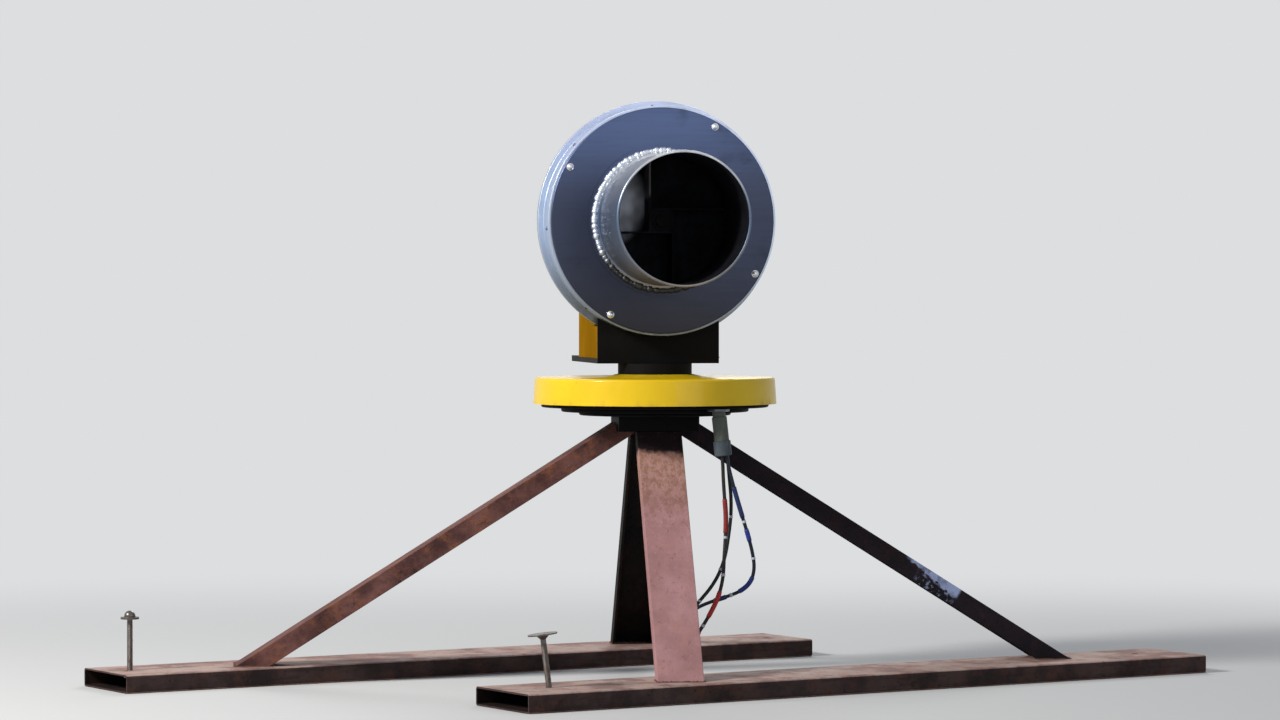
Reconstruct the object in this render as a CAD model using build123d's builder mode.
"""Rotating civil defense siren on a low welded four-leg stand.

The frame: millimetres, +Z up, origin on the ground under the turning axis of the head. At rest the
intake of the head faces -Y. The stand below it is turned a few degrees from the head, as it stands.
"""

import os
from math import cos, pi, radians, sin, sqrt, tan

from build123d import *

# Skids: two wide flat hollow sections that lie side by side on the ground
skid_width = 280.0
skid_height = 52.0
skid_wall = 5.0
skid_corner = 8.0
skid_length = 2286.0
skid_skew = -2.6
skid_shift = 50.0
stand_turn = -4.0

# Legs: steel channels, web outwards and up, that lean in to the collar
leg_web = 127.0
leg_flange = 52.0
leg_web_thickness = 6.0
leg_flange_thickness = 8.0
leg_root_radius = 6.0
side_foot_radius = 1197.0
end_foot_radius = 660.0
side_leg_rise = 24.0
leg_end_gap = 66.0
leg_overrun = 80.0

# Collar and the three round plates on it, which carry the turning head
collar_size = 230.0
collar_height = 44.0
collar_bottom = 713.0
lower_plate_radius = 217.0
lower_plate_thickness = 10.0
middle_plate_radius = 268.0
middle_plate_thickness = 13.0
upper_plate_radius = 325.0
upper_plate_thickness = 10.0
plate_edge = 3.0

# Levelling screws: a hole and a nut near each end of each skid, and screws left in the left ends
front_screw_end_distance = 152.0
rear_screw_end_distance = 75.0
screw_radius = 7.6
screw_hole_clearance = 2.4
screw_nut_clearance = 0.7
screw_nut_across = 30.0
screw_nut_height = 16.0
screw_tip_chamfer = 3.0
screw_tip_lift = 2.0
front_screw_lean = 7.0
front_screw_lean_heading = 170.0
disc_screw_length = 196.0
disc_head_radius = 40.0
disc_head_thickness = 4.0
disc_cone_radius = 19.0
disc_cone_height = 12.0
dome_screw_length = 217.0
dome_head_radius = 15.5
dome_head_height = 18.0
dome_washer_radius = 26.0
dome_washer_thickness = 6.0

# Electrical conduit under the upper plate, on the stand's right front
conduit_top = (151.0, -257.0)
conduit_bottom = (165.0, -259.0)
conduit_radius = 21.0
conduit_bore = 17.0
conduit_ferrule_radius = 18.5
conduit_ferrule_length = 22.0
coupling_radius = 24.5
coupling_length = 42.0
coupling_chamfer = 2.0
coupling_bottom = 649.0

# Leads that hang out of the conduit: right, back and up along the stand's own axes, from inside
# the coupling down behind the front leg to the ground behind the front skid
lead_diameter = 10.0
lead_bend_share = 0.45
lead_routes = {
    "red_lead": [
        (158.0, -269.1, 664),
        (161.9, -269.7, 634),
        (163, -271, 588),
        (166, -275, 535),
        (170, -281, 479),
        (167, -289, 421),
        (162, -299, 366),
        (159, -310, 316),
        (146, -322, 264),
        (122, -335, 218),
        (94, -347, 175),
        (65, -354, 134),
        (41, -358, 90),
        (17, -361, 52),
        (-16, -360, 22),
        (-58, -357, 5.3),
        (-103, -362, 5.3),
    ],
    "black_lead": [
        (174.2, -255.9, 664),
        (178.1, -256.5, 634),
        (182, -256, 587),
        (187, -259, 534),
        (186, -263, 478),
        (178, -268, 420),
        (169, -275, 370),
        (152, -283, 323),
        (126, -293, 282),
        (94, -301, 247),
        (64, -308, 211),
        (38, -314, 167),
        (22, -316, 120),
        (12, -319, 73),
        (-9, -319, 32),
        (-42, -315, 5.3),
        (-86, -307, 5.3),
    ],
    "blue_lead": [
        (171.1, -267.0, 664),
        (175.0, -267.5, 634),
        (186, -271, 588),
        (200, -272, 535),
        (217, -272, 479),
        (233, -270, 428),
        (246, -267, 380),
        (253, -264, 335),
        (244, -261, 296),
        (215, -258, 269),
        (172, -257, 253),
        (129, -259, 240),
        (87, -261, 223),
        (56, -263, 194),
        (37, -267, 152),
        (27, -272, 108),
        (8, -274, 61),
        (-18, -274, 22),
        (-57, -268, 5.3),
        (-98, -257, 5.3),
    ],
}

# Turning joint under the cover
housing_radius = 120.0
housing_height = 48.0
housing_floor = 8.0
spindle_radius = 40.0
spindle_clearance = 0.05
spindle_end_gap = 3.0
turning_gap = 5.0
turntable_radius = 180.0
neck_radius = 105.5

# Yellow cover, a shallow pan upside down with a raised middle
cover_radius = 347.5
cover_draft = 5.0
cover_height = 75.0
cover_sheet = 3.0
cover_corner = 8.0
boss_base_radius = 147.0
boss_top_radius = 111.0
boss_height = 9.0
cover_bore_clearance = 0.3

# Pedestal: a box on the turntable that carries the drum and its motor
pedestal_width = 351.0
pedestal_face = 58.0
pedestal_plate = 6.0
base_gap_height = 31.0
base_thickness = 17.0
base_back = 410.0
cradle_back_face = 275.0
shelf_thickness = 12.0
motor_shaft_height = 160.0
cradle_step = 10.0
saddle_clearance = 0.3

# Drum: the round chopper housing, its axis level and pointing forwards
drum_clearance = 46.0
shell_radius = 326.0
shell_wall = 6.0
rim_width = 16.0
rim_back = 17.0
rim_thickness = 12.0
lip_width = 30.0
lip_thickness = 6.0
front_cover_inset = 6.0
front_cover_face = 130.0
front_cover_thickness = 8.0
front_cover_chamfer = 2.0
back_plate_thickness = 6.0
port_land = 28.0
port_height = 67.0
port_count = 8
port_angle = 24.0
port_corner = 6.0

# Intake tube on the drum's face
tube_bore_radius = 181.0
tube_wall = 4.0
tube_mouth = 460.0
tube_bead_radius = 4.0
tube_flare = 12.0
tube_flange_radius = 214.0

# Rotor inside the drum
rotor_side_gap = 15.0
rotor_disc_thickness = 5.0
rotor_running_gap = 8.0
vane_depth = 76.0
vane_thickness = 5.0
vane_offset = 33.0
vane_tip_gap = 5.0
hub_boss_radius = 27.0
hub_boss_length = 5.0
hub_nut_across = 34.0
hub_nut_length = 8.0
shaft_radius = 19.0
shaft_clearance = 0.05
shaft_end_gap = 5.0

# Motor behind the drum
motor_radius = 140.0
motor_fin_height = 11.0
motor_fin_root = 1.0
motor_fin_thickness = 4.0
motor_fin_count = 36
motor_length = 260.0
motor_clearance = 0.3
front_bell_length = 70.0
front_bell_radius = 150.0
front_bell_flange = 14.0
front_bell_waist = 120.0
motor_bore_depth = 55.0
fan_cover_length = 75.0
fan_cover_radius = 149.0
fan_cover_sheet = 3.0
fan_cover_corner = 18.0
fan_slot_count = 12
fan_slot_inner = 34.0
fan_slot_outer = 112.0
fan_slot_width = 11.0
motor_foot_inset = 40.0
motor_foot_width = 254.0
motor_foot_thickness = 14.0
motor_foot_neck = 180.0
terminal_box_size = (64.0, 110.0, 100.0)
terminal_lid_thickness = 8.0
terminal_lid_overhang = 3.0
terminal_corner = 6.0

# Radii about the drum's axis that follow from its shell
rim_radius = shell_radius + rim_width
inner_radius = shell_radius - shell_wall
lip_radius = inner_radius - lip_width
front_cover_radius = shell_radius - front_cover_inset
port_outer_radius = inner_radius - port_land
port_inner_radius = port_outer_radius - port_height
port_middle_radius = (port_inner_radius + port_outer_radius) / 2
rotor_disc_radius = inner_radius - rotor_side_gap

# Heights that follow from the sizes above
collar_top = collar_bottom + collar_height
middle_plate_bottom = collar_top + lower_plate_thickness
upper_plate_bottom = middle_plate_bottom + middle_plate_thickness
upper_plate_top = upper_plate_bottom + upper_plate_thickness
housing_top = upper_plate_top + housing_height
cover_bottom = upper_plate_top
cover_top = cover_bottom + cover_height
turntable_top = cover_top - cover_sheet
turntable_bottom = housing_top + turning_gap
base_bottom = cover_top + boss_height + base_gap_height
base_top = base_bottom + base_thickness
axis_height = base_top + drum_clearance + rim_radius
shelf_top = axis_height - motor_shaft_height
shelf_bottom = shelf_top - shelf_thickness

# Places along the drum's axis, measured forwards from the turning axis
front_cover_back = front_cover_face - front_cover_thickness
back_plate_back = rim_back - back_plate_thickness
rotor_disc_back = rim_back + rotor_running_gap
rotor_disc_front = rotor_disc_back + rotor_disc_thickness
vane_front = rotor_disc_front + vane_depth
bell_back = back_plate_back - front_bell_length
motor_back = bell_back - motor_length

# The drum's own plane: x forwards along its axis, y up from the axis
drum_plane = Plane(origin=(0, 0, axis_height), x_dir=(0, -1, 0), z_dir=(-1, 0, 0))
drum_axis = Axis((0, 0, axis_height), (0, -1, 0))


def stand_point(right, back, up=0.0):
    """A point or direction along the stand's own axes, in the part's frame."""
    return Vector(right, back, up).rotate(Axis.Z, stand_turn)


def facing_plane(forward):
    """A plane across the drum's axis, seen from the front: x to the right, y up."""
    return Plane(origin=(0, -forward, axis_height), x_dir=(1, 0, 0), z_dir=(0, -1, 0))


def revolved(points, plane, axis):
    """A closed outline of straight runs, turned once round an axis."""
    with BuildPart() as turned:
        with BuildSketch(plane):
            with BuildLine():
                Polyline(*points, close=True)
            make_face()
        revolve(axis=axis)
    return turned


# Feet: where each leg's channel meets the skids, as radii from the turning axis
side_leg_slope = Vector(
    collar_size / 2 - side_foot_radius, 0, collar_bottom + side_leg_rise - skid_height
).normalized()
end_leg_slope = Vector(collar_size / 2 - end_foot_radius, 0, collar_bottom - skid_height).normalized()
side_foot_centre = side_foot_radius - leg_flange / side_leg_slope.Z / 2
end_foot_centre = end_foot_radius - leg_flange / end_leg_slope.Z / 2

# Each skid runs under its two feet, a little askew, and the rear one lies opposite the front one
front_foot = stand_point(0, -end_foot_centre)
right_foot = stand_point(side_foot_centre, 0)
skid_along = (right_foot - front_foot).normalized().rotate(Axis.Z, skid_skew)
skid_across = Vector(0, 0, 1).cross(skid_along)
front_skid_middle = (front_foot + right_foot) * 0.5 - skid_along * skid_shift
rear_skid_middle = front_skid_middle * -1

# The front left screw leans out to its left, and the others stand upright
front_screw_axis = Vector(
    sin(radians(front_screw_lean)) * cos(radians(front_screw_lean_heading)),
    sin(radians(front_screw_lean)) * sin(radians(front_screw_lean_heading)),
    cos(radians(front_screw_lean)),
)


def screw_seats(middle, end_distance, left_axis):
    """Planes on the ground under a skid's two screw holes, the left one first, z along the screw."""
    reach = skid_along * (skid_length / 2 - end_distance)
    return [Plane(origin=middle - reach, z_dir=left_axis), Plane(origin=middle + reach)]


front_screw_seats = screw_seats(front_skid_middle, front_screw_end_distance, front_screw_axis)
rear_screw_seats = screw_seats(rear_skid_middle, rear_screw_end_distance, Vector(0, 0, 1))


def build_skid(middle, seats):
    """A flat hollow section, open at both ends, with a hole for each levelling screw."""
    end = middle - skid_along * (skid_length / 2) + Vector(0, 0, skid_height / 2)
    inner_corner = skid_corner - skid_wall
    with BuildPart() as skid:
        with BuildSketch(Plane(origin=end, x_dir=skid_across, z_dir=skid_along)):
            RectangleRounded(skid_width, skid_height, skid_corner)
            RectangleRounded(
                skid_width - 2 * skid_wall,
                skid_height - 2 * skid_wall,
                inner_corner,
                mode=Mode.SUBTRACT,
            )
        extrude(amount=skid_length)
        with Locations(*seats):
            Cylinder(screw_radius + screw_hole_clearance, 3 * skid_height, mode=Mode.SUBTRACT)
    return skid


def build_screw_nuts(seats):
    """The two hexagon nuts welded under a skid's top wall."""
    nut_bottom = skid_height - skid_wall - screw_nut_height
    nut_middle = nut_bottom + screw_nut_height / 2
    centres = [seat.origin + seat.z_dir * (nut_middle / seat.z_dir.Z) for seat in seats]
    with BuildPart() as nuts:
        with BuildSketch(Plane.XY.offset(nut_bottom)):
            with Locations(*[(centre.X, centre.Y) for centre in centres]):
                RegularPolygon(screw_nut_across / 2, 6, major_radius=False)
        extrude(amount=screw_nut_height)
        with Locations(*seats):
            Cylinder(screw_radius + screw_nut_clearance, 3 * skid_height, mode=Mode.SUBTRACT)
    return nuts


def screw_plane(seat):
    """A plane through a screw's axis with its origin at the screw's tip, y along the screw."""
    tip = seat.origin + seat.z_dir * screw_tip_lift
    return Plane(origin=tip, x_dir=seat.x_dir, z_dir=seat.y_dir * -1)


def build_disc_screw(seat):
    """A levelling screw with a thin round disc for a head, on a short cone."""
    profile = screw_plane(seat)
    head_bottom = disc_screw_length - disc_head_thickness
    outline = [
        (0, 0),
        (screw_radius - screw_tip_chamfer, 0),
        (screw_radius, screw_tip_chamfer),
        (screw_radius, head_bottom - disc_cone_height),
        (disc_cone_radius, head_bottom),
        (disc_head_radius, head_bottom),
        (disc_head_radius, disc_screw_length),
        (0, disc_screw_length),
    ]
    return revolved(outline, profile, Axis(profile.origin, seat.z_dir))


def build_dome_screw(seat):
    """A levelling screw with a small dome over a wide washer."""
    profile = screw_plane(seat)
    washer_top = dome_screw_length - dome_head_height
    with BuildPart() as screw:
        with BuildSketch(profile):
            with BuildLine():
                stem = Polyline(
                    (0, dome_screw_length),
                    (0, 0),
                    (screw_radius - screw_tip_chamfer, 0),
                    (screw_radius, screw_tip_chamfer),
                    (screw_radius, washer_top - dome_washer_thickness),
                    (dome_washer_radius, washer_top - dome_washer_thickness),
                    (dome_washer_radius, washer_top),
                    (dome_head_radius, washer_top),
                )
                TangentArc(stem @ 0, stem @ 1, tangent=(1, 0))
            make_face()
        revolve(axis=Axis(profile.origin, seat.z_dir))
    return screw


def build_leg(heading, foot_radius, top_height):
    """A channel from a skid up to the collar, web outwards, cut level at the foot and round the collar."""
    outward = stand_point(cos(radians(heading)), sin(radians(heading)))
    foot = outward * foot_radius + Vector(0, 0, skid_height)
    top = outward * (collar_size / 2) + Vector(0, 0, top_height)
    slope = (top - foot).normalized()
    start = foot - slope * leg_overrun
    turned = (0, 0, stand_turn)
    with BuildPart() as leg:
        with BuildSketch(Plane(origin=start, x_dir=Vector(0, 0, 1).cross(outward), z_dir=slope)):
            Rectangle(leg_web, leg_flange, align=(Align.CENTER, Align.MIN))
            with BuildSketch(mode=Mode.SUBTRACT) as hollow:
                with Locations((0, leg_web_thickness)):
                    Rectangle(
                        leg_web - 2 * leg_flange_thickness,
                        leg_flange - leg_web_thickness,
                        align=(Align.CENTER, Align.MIN),
                    )
                fillet(hollow.vertices().group_by(Axis.Y)[0], leg_root_radius)
        extrude(amount=(top - foot).length + 2 * leg_overrun)
        split(bisect_by=Plane.XY.offset(skid_height), keep=Keep.TOP)
        with Locations((0, 0, collar_bottom)):
            Box(
                collar_size,
                collar_size,
                axis_height,
                rotation=turned,
                align=(Align.CENTER, Align.CENTER, Align.MIN),
                mode=Mode.SUBTRACT,
            )
        Box(
            2 * leg_end_gap,
            2 * leg_end_gap,
            axis_height,
            rotation=turned,
            align=(Align.CENTER, Align.CENTER, Align.MIN),
            mode=Mode.SUBTRACT,
        )
    return leg


def build_disc(radius, bottom, thickness):
    """A round plate with its two edges broken."""
    with BuildPart() as disc:
        with BuildSketch(Plane.XY.offset(bottom)):
            Circle(radius)
        extrude(amount=thickness)
        chamfer(disc.edges(), plate_edge)
    return disc


# Stand
front_skid = build_skid(front_skid_middle, front_screw_seats)
rear_skid = build_skid(rear_skid_middle, rear_screw_seats)
front_skid_nuts = build_screw_nuts(front_screw_seats)
rear_skid_nuts = build_screw_nuts(rear_screw_seats)
front_left_screw = build_disc_screw(front_screw_seats[0])
rear_left_screw = build_dome_screw(rear_screw_seats[0])
right_leg = build_leg(0, side_foot_radius, collar_bottom + side_leg_rise)
back_leg = build_leg(90, end_foot_radius, collar_bottom)
left_leg = build_leg(180, side_foot_radius, collar_bottom + side_leg_rise)
front_leg = build_leg(270, end_foot_radius, collar_bottom)

with BuildPart() as leg_collar:
    with BuildSketch(Plane(origin=(0, 0, collar_bottom), x_dir=stand_point(1, 0), z_dir=(0, 0, 1))):
        Rectangle(collar_size, collar_size)
    extrude(amount=collar_height)
    chamfer(leg_collar.edges().filter_by(Axis.Z), plate_edge)

lower_plate = build_disc(lower_plate_radius, collar_top, lower_plate_thickness)
middle_plate = build_disc(middle_plate_radius, middle_plate_bottom, middle_plate_thickness)
upper_plate = build_disc(upper_plate_radius, upper_plate_bottom, upper_plate_thickness)

bearing_housing = revolved(
    [
        (0, upper_plate_top),
        (housing_radius, upper_plate_top),
        (housing_radius, housing_top),
        (spindle_radius + spindle_clearance, housing_top),
        (spindle_radius + spindle_clearance, upper_plate_top + housing_floor),
        (0, upper_plate_top + housing_floor),
    ],
    Plane.XZ,
    Axis.Z,
)

# Conduit: a ferrule and a pipe that hang from the upper plate, with a coupling at the end
conduit_mouth = stand_point(*conduit_bottom, coupling_bottom)
conduit_root = stand_point(*conduit_top, upper_plate_bottom)
conduit_down = (conduit_mouth - conduit_root).normalized()
conduit_run = (conduit_mouth - conduit_root).length
conduit_plane = Plane(origin=conduit_root, x_dir=(1, 0, 0), z_dir=conduit_down)

with BuildPart() as conduit_pipe:
    with BuildSketch(conduit_plane.offset(-conduit_ferrule_length)):
        Circle(conduit_ferrule_radius)
    extrude(amount=2 * conduit_ferrule_length)
    with BuildSketch(conduit_plane.offset(conduit_ferrule_length)):
        Circle(conduit_radius)
    extrude(amount=conduit_run - coupling_length - conduit_ferrule_length)
    with BuildSketch(conduit_plane.offset(-conduit_ferrule_length)):
        Circle(conduit_bore)
    extrude(amount=conduit_run, mode=Mode.SUBTRACT)
    split(bisect_by=Plane.XY.offset(upper_plate_bottom), keep=Keep.BOTTOM)

with BuildPart() as conduit_coupling:
    with BuildSketch(conduit_plane.offset(conduit_run - coupling_length)):
        Circle(coupling_radius)
        Circle(conduit_bore, mode=Mode.SUBTRACT)
    extrude(amount=coupling_length)
    chamfer(conduit_coupling.faces().sort_by(Axis.Z)[0].outer_wire().edges(), coupling_chamfer)



def build_lead(name, route):
    """A round lead: straight runs joined by arcs as large as the runs allow."""
    points = [stand_point(*place) for place in route]
    radii = []
    for before, corner, after in zip(points, points[1:], points[2:]):
        first_run = corner - before
        next_run = after - corner
        shorter_run = min(first_run.length, next_run.length)
        turn = radians(first_run.get_angle(next_run))
        radii.append(lead_bend_share * shorter_run / tan(turn / 2))
    with BuildPart() as lead:
        with BuildLine():
            path = FilletPolyline(*points, radius=radii)
        with BuildSketch(Plane(origin=points[0], z_dir=path % 0)):
            Circle(lead_diameter / 2)
        sweep()
    full_tube = pi * (lead_diameter / 2) ** 2 * path.length
    print(name, "length", round(path.length), "share filled", round(lead.part.volume / full_tube, 4))
    print("bend radii", [round(radius) for radius in radii])
    return lead


leads = {name: build_lead(name, route) for name, route in lead_routes.items()}

# Head: turntable and cover
turntable = revolved(
    [
        (0, upper_plate_top + housing_floor + spindle_end_gap),
        (spindle_radius, upper_plate_top + housing_floor + spindle_end_gap),
        (spindle_radius, turntable_bottom),
        (turntable_radius, turntable_bottom),
        (turntable_radius, turntable_top),
        (neck_radius, turntable_top),
        (neck_radius, base_bottom),
        (0, base_bottom),
    ],
    Plane.XZ,
    Axis.Z,
)

with BuildPart() as cover_disc:
    with BuildSketch(Plane.XZ):
        with BuildLine():
            Polyline(
                (neck_radius + cover_bore_clearance, cover_top + boss_height),
                (boss_top_radius, cover_top + boss_height),
                (boss_base_radius, cover_top),
                (cover_radius - cover_draft, cover_top),
                (cover_radius, cover_bottom),
                (cover_radius - cover_sheet, cover_bottom),
                (cover_radius - cover_draft - cover_sheet, cover_top - cover_sheet),
                (neck_radius + cover_bore_clearance, cover_top - cover_sheet),
                close=True,
            )
        make_face()
    revolve(axis=Axis.Z)
    cover_rim = cover_disc.edges().filter_by(GeomType.CIRCLE)
    fillet(cover_rim.filter_by(lambda e: abs(e.radius - cover_radius + cover_draft) < 0.1), cover_corner)

# Pedestal: base plate, black front, yellow sides and back, and the motor's shelf
with BuildPart() as base_plate:
    with BuildSketch(Plane.XY.offset(base_bottom)):
        with Locations((0, -pedestal_face + pedestal_plate)):
            Rectangle(
                pedestal_width,
                pedestal_face - pedestal_plate + base_back,
                align=(Align.CENTER, Align.MIN),
            )
    extrude(amount=base_thickness)
    chamfer(base_plate.edges().filter_by(Axis.Z).sort_by(Axis.Y)[-2:], plate_edge)

saddle_drop = sqrt((shell_radius + saddle_clearance) ** 2 - (pedestal_width / 2) ** 2)
with BuildPart() as pedestal_front:
    with BuildSketch(Plane(origin=(0, -pedestal_face, 0), x_dir=(1, 0, 0), z_dir=(0, 1, 0))):
        with Locations((0, -base_bottom)):
            Rectangle(
                pedestal_width,
                axis_height - saddle_drop - base_bottom,
                align=(Align.CENTER, Align.MAX),
            )
        with Locations((0, -axis_height)):
            Circle(shell_radius + saddle_clearance, mode=Mode.SUBTRACT)
    extrude(amount=pedestal_plate)

cradle_front = -pedestal_face + pedestal_plate
cradle_low_top = axis_height - sqrt((rim_radius + turning_gap) ** 2 - (pedestal_width / 2) ** 2)


def build_cradle_side(side):
    """A side plate of the pedestal, low in front under the drum and high behind it under the shelf."""
    outer = side * pedestal_width / 2
    with BuildPart() as cradle:
        with BuildSketch(Plane(origin=(outer, 0, 0), x_dir=(0, 1, 0), z_dir=(1, 0, 0))):
            with BuildLine():
                Polyline(
                    (cradle_front, base_top),
                    (cradle_back_face, base_top),
                    (cradle_back_face, shelf_bottom),
                    (cradle_step, shelf_bottom),
                    (cradle_step, cradle_low_top),
                    (cradle_front, cradle_low_top),
                    close=True,
                )
            make_face()
        extrude(amount=-side * pedestal_plate)
    return cradle


cradle_left = build_cradle_side(-1)
cradle_right = build_cradle_side(1)

inner_width = pedestal_width - 2 * pedestal_plate
with BuildPart() as cradle_back:
    with BuildSketch(Plane(origin=(0, cradle_back_face, 0), x_dir=(1, 0, 0), z_dir=(0, -1, 0))):
        with Locations((0, base_top)):
            Rectangle(inner_width, shelf_bottom - base_top, align=(Align.CENTER, Align.MIN))
    extrude(amount=pedestal_plate)

with BuildPart() as motor_shelf:
    with BuildSketch(Plane.XY.offset(shelf_bottom)):
        with Locations((0, cradle_step)):
            Rectangle(pedestal_width, cradle_back_face - cradle_step, align=(Align.CENTER, Align.MIN))
    extrude(amount=shelf_thickness)

# Drum
drum_shell = revolved(
    [
        (rim_back, inner_radius),
        (rim_back, rim_radius),
        (rim_back + rim_thickness, rim_radius),
        (rim_back + rim_thickness, shell_radius),
        (front_cover_back, shell_radius),
        (front_cover_back, lip_radius),
        (front_cover_back - lip_thickness, lip_radius),
        (front_cover_back - lip_thickness, inner_radius),
    ],
    drum_plane,
    drum_axis,
)

with BuildPart() as front_cover:
    with BuildSketch(facing_plane(front_cover_back)):
        Circle(front_cover_radius)
        Circle(tube_bore_radius + tube_wall, mode=Mode.SUBTRACT)
    extrude(amount=front_cover_thickness)
    cover_edges = front_cover.faces().sort_by(Axis.Y)[0].outer_wire().edges()
    chamfer(cover_edges, front_cover_chamfer)

with BuildPart() as intake_tube:
    with BuildSketch(drum_plane):
        with BuildLine():
            flare_start = Line(
                (front_cover_face, tube_bore_radius + tube_wall),
                (front_cover_face, tube_flange_radius),
            )
            Line(flare_start @ 1, (front_cover_face + tube_wall, tube_flange_radius))
            Line(
                (front_cover_face + tube_wall, tube_flange_radius),
                (front_cover_face + tube_wall, tube_bore_radius + tube_wall + tube_flare),
            )
            RadiusArc(
                (front_cover_face + tube_wall, tube_bore_radius + tube_wall + tube_flare),
                (front_cover_face + tube_wall + tube_flare, tube_bore_radius + tube_wall),
                tube_flare,
            )
            Polyline(
                (front_cover_face + tube_wall + tube_flare, tube_bore_radius + tube_wall),
                (tube_mouth - tube_bead_radius, tube_bore_radius + tube_wall),
                (tube_mouth - tube_bead_radius, tube_bore_radius),
                (front_cover_back, tube_bore_radius),
                (front_cover_back, tube_bore_radius + tube_wall),
                flare_start @ 0,
            )
        make_face()
        with Locations((tube_mouth - tube_bead_radius, tube_bore_radius + tube_bead_radius)):
            Circle(tube_bead_radius)
    revolve(axis=drum_axis)

port_width = 2 * port_middle_radius * sin(radians(port_angle / 2))

with BuildPart() as drum_back:
    with BuildSketch(facing_plane(back_plate_back)):
        Circle(rim_radius)
        Circle(shaft_radius + turning_gap, mode=Mode.SUBTRACT)
        with PolarLocations(port_middle_radius, port_count):
            RectangleRounded(port_height, port_width, port_corner, mode=Mode.SUBTRACT)
    extrude(amount=back_plate_thickness)

# Rotor
with BuildPart() as rotor_disc:
    with BuildSketch(facing_plane(rotor_disc_back)):
        Circle(rotor_disc_radius)
        with PolarLocations(port_middle_radius, port_count):
            RectangleRounded(port_height, port_width, port_corner, mode=Mode.SUBTRACT)
        Circle(shaft_radius, mode=Mode.SUBTRACT)
    extrude(amount=rotor_disc_thickness)

hub_half = vane_offset - vane_thickness / 2
with BuildPart() as rotor_hub:
    with BuildSketch(facing_plane(rotor_disc_front)):
        RectangleRounded(2 * hub_half, 2 * hub_half, port_corner)
        Circle(shaft_radius, mode=Mode.SUBTRACT)
    extrude(amount=vane_depth)

vane_reach = rotor_disc_radius - vane_tip_gap
with BuildPart() as rotor_vanes:
    with BuildSketch(facing_plane(rotor_disc_front)):
        with PolarLocations(0, 4):
            with Locations((vane_reach / 2 - hub_half / 2, vane_offset)):
                Rectangle(vane_reach + hub_half, vane_thickness)
    extrude(amount=vane_depth)

shaft_back = back_plate_back - motor_bore_depth + shaft_end_gap
with BuildPart() as rotor_shaft:
    with BuildSketch(facing_plane(shaft_back)):
        Circle(shaft_radius)
    extrude(amount=vane_front - shaft_back)
    with BuildSketch(facing_plane(vane_front)):
        Circle(hub_boss_radius)
    extrude(amount=hub_boss_length)
    with BuildSketch(facing_plane(vane_front + hub_boss_length)):
        RegularPolygon(hub_nut_across / 2, 6, major_radius=False)
    extrude(amount=hub_nut_length)

# Motor
motor_front_bell = revolved(
    [
        (back_plate_back, shaft_radius + shaft_clearance),
        (back_plate_back, front_bell_radius),
        (back_plate_back - front_bell_flange, front_bell_radius),
        (back_plate_back - front_bell_flange, front_bell_waist),
        (bell_back, motor_radius),
        (bell_back, 0),
        (back_plate_back - motor_bore_depth, 0),
        (back_plate_back - motor_bore_depth, shaft_radius + shaft_clearance),
    ],
    drum_plane,
    drum_axis,
)

with BuildPart() as motor_body:
    with BuildSketch(facing_plane(motor_back)):
        Circle(motor_radius)
        with PolarLocations(motor_radius + (motor_fin_height - motor_fin_root) / 2, motor_fin_count):
            Rectangle(motor_fin_height + motor_fin_root, motor_fin_thickness)
    extrude(amount=motor_length)

# The fan's cover: a cup pressed from sheet, with a ring of slots in its back
fan_cover_back = motor_back - fan_cover_length
with BuildPart() as fan_cover:
    with BuildSketch(facing_plane(fan_cover_back)):
        Circle(fan_cover_radius)
    extrude(amount=fan_cover_length)
    fillet(fan_cover.edges().sort_by(Axis.Y)[-1], fan_cover_corner)
    offset(amount=-fan_cover_sheet, openings=fan_cover.faces().sort_by(Axis.Y)[0])
    with BuildSketch(facing_plane(fan_cover_back)):
        with PolarLocations((fan_slot_inner + fan_slot_outer) / 2, fan_slot_count):
            SlotOverall(fan_slot_outer - fan_slot_inner, fan_slot_width)
    extrude(amount=fan_cover_corner, mode=Mode.SUBTRACT)

motor_seat_radius = motor_radius + motor_fin_height + motor_clearance
with BuildPart() as motor_feet:
    with BuildSketch(facing_plane(motor_back + motor_foot_inset)):
        with Locations((0, shelf_top - axis_height)):
            Rectangle(motor_foot_width, motor_foot_thickness, align=(Align.CENTER, Align.MIN))
            Rectangle(motor_foot_neck, motor_shaft_height, align=(Align.CENTER, Align.MIN))
        Circle(motor_seat_radius, mode=Mode.SUBTRACT)
    extrude(amount=motor_length - 2 * motor_foot_inset)

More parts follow.
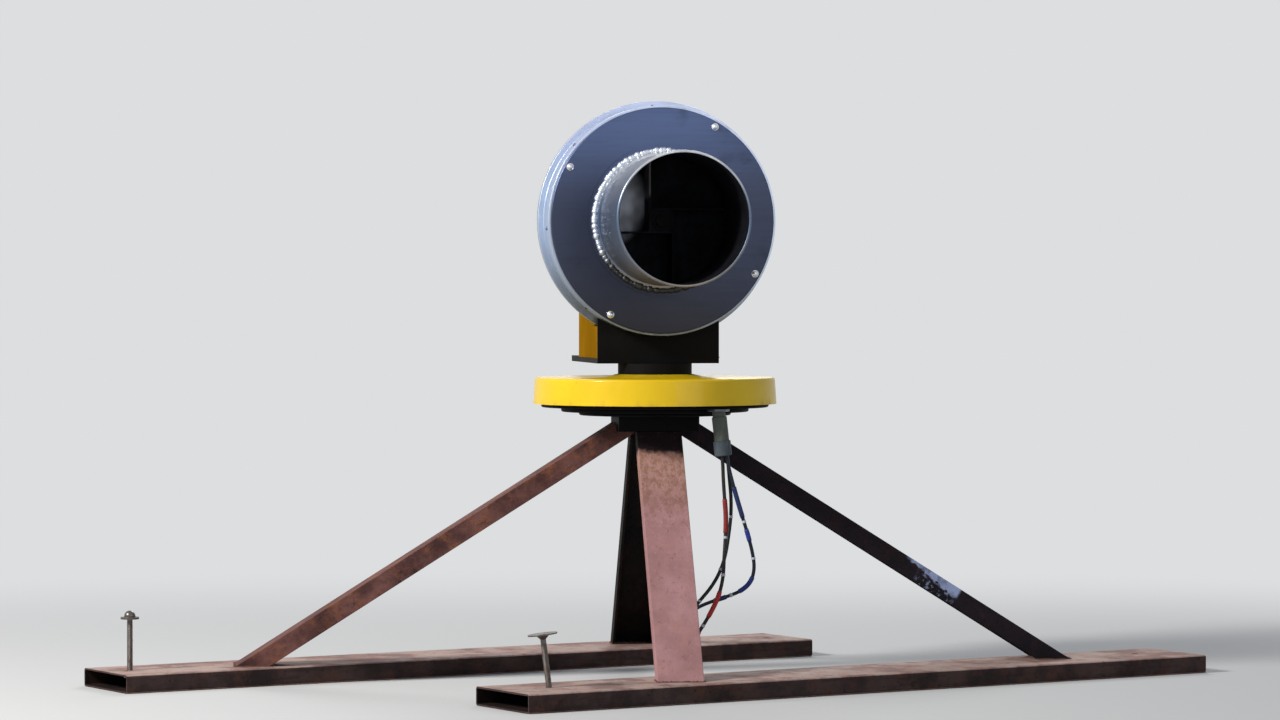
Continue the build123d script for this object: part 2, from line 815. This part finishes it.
box_depth, box_length, box_height = terminal_box_size
box_start = motor_seat_radius
with BuildPart() as terminal_box:
    with BuildSketch(Plane(origin=(box_start, 0, 0), x_dir=(0, 1, 0), z_dir=(1, 0, 0))):
        with Locations((-(bell_back + motor_back) / 2, axis_height)):
            RectangleRounded(box_length, box_height, terminal_corner)
    extrude(amount=box_depth)

with BuildPart() as terminal_lid:
    with BuildSketch(Plane(origin=(box_start + box_depth, 0, 0), x_dir=(0, 1, 0), z_dir=(1, 0, 0))):
        with Locations((-(bell_back + motor_back) / 2, axis_height)):
            RectangleRounded(
                box_length + 2 * terminal_lid_overhang,
                box_height + 2 * terminal_lid_overhang,
                terminal_corner,
            )
    extrude(amount=terminal_lid_thickness)

pieces = {
    "front_skid": front_skid,
    "rear_skid": rear_skid,
    "front_skid_nuts": front_skid_nuts,
    "rear_skid_nuts": rear_skid_nuts,
    "front_left_screw": front_left_screw,
    "rear_left_screw": rear_left_screw,
    "right_leg": right_leg,
    "back_leg": back_leg,
    "left_leg": left_leg,
    "front_leg": front_leg,
    "leg_collar": leg_collar,
    "lower_plate": lower_plate,
    "middle_plate": middle_plate,
    "upper_plate": upper_plate,
    "bearing_housing": bearing_housing,
    "conduit_pipe": conduit_pipe,
    "conduit_coupling": conduit_coupling,
    **leads,
    "turntable": turntable,
    "cover_disc": cover_disc,
    "base_plate": base_plate,
    "pedestal_front": pedestal_front,
    "cradle_left": cradle_left,
    "cradle_right": cradle_right,
    "cradle_back": cradle_back,
    "motor_shelf": motor_shelf,
    "drum_shell": drum_shell,
    "front_cover": front_cover,
    "intake_tube": intake_tube,
    "drum_back": drum_back,
    "rotor_disc": rotor_disc,
    "rotor_hub": rotor_hub,
    "rotor_vanes": rotor_vanes,
    "rotor_shaft": rotor_shaft,
    "motor_front_bell": motor_front_bell,
    "motor_body": motor_body,
    "fan_cover": fan_cover,
    "motor_feet": motor_feet,
    "terminal_box": terminal_box,
    "terminal_lid": terminal_lid,
}

os.makedirs("parts", exist_ok=True)
for name, piece in pieces.items():
    piece.part.label = name
    export_step(piece.part, f"parts/{name}.step")
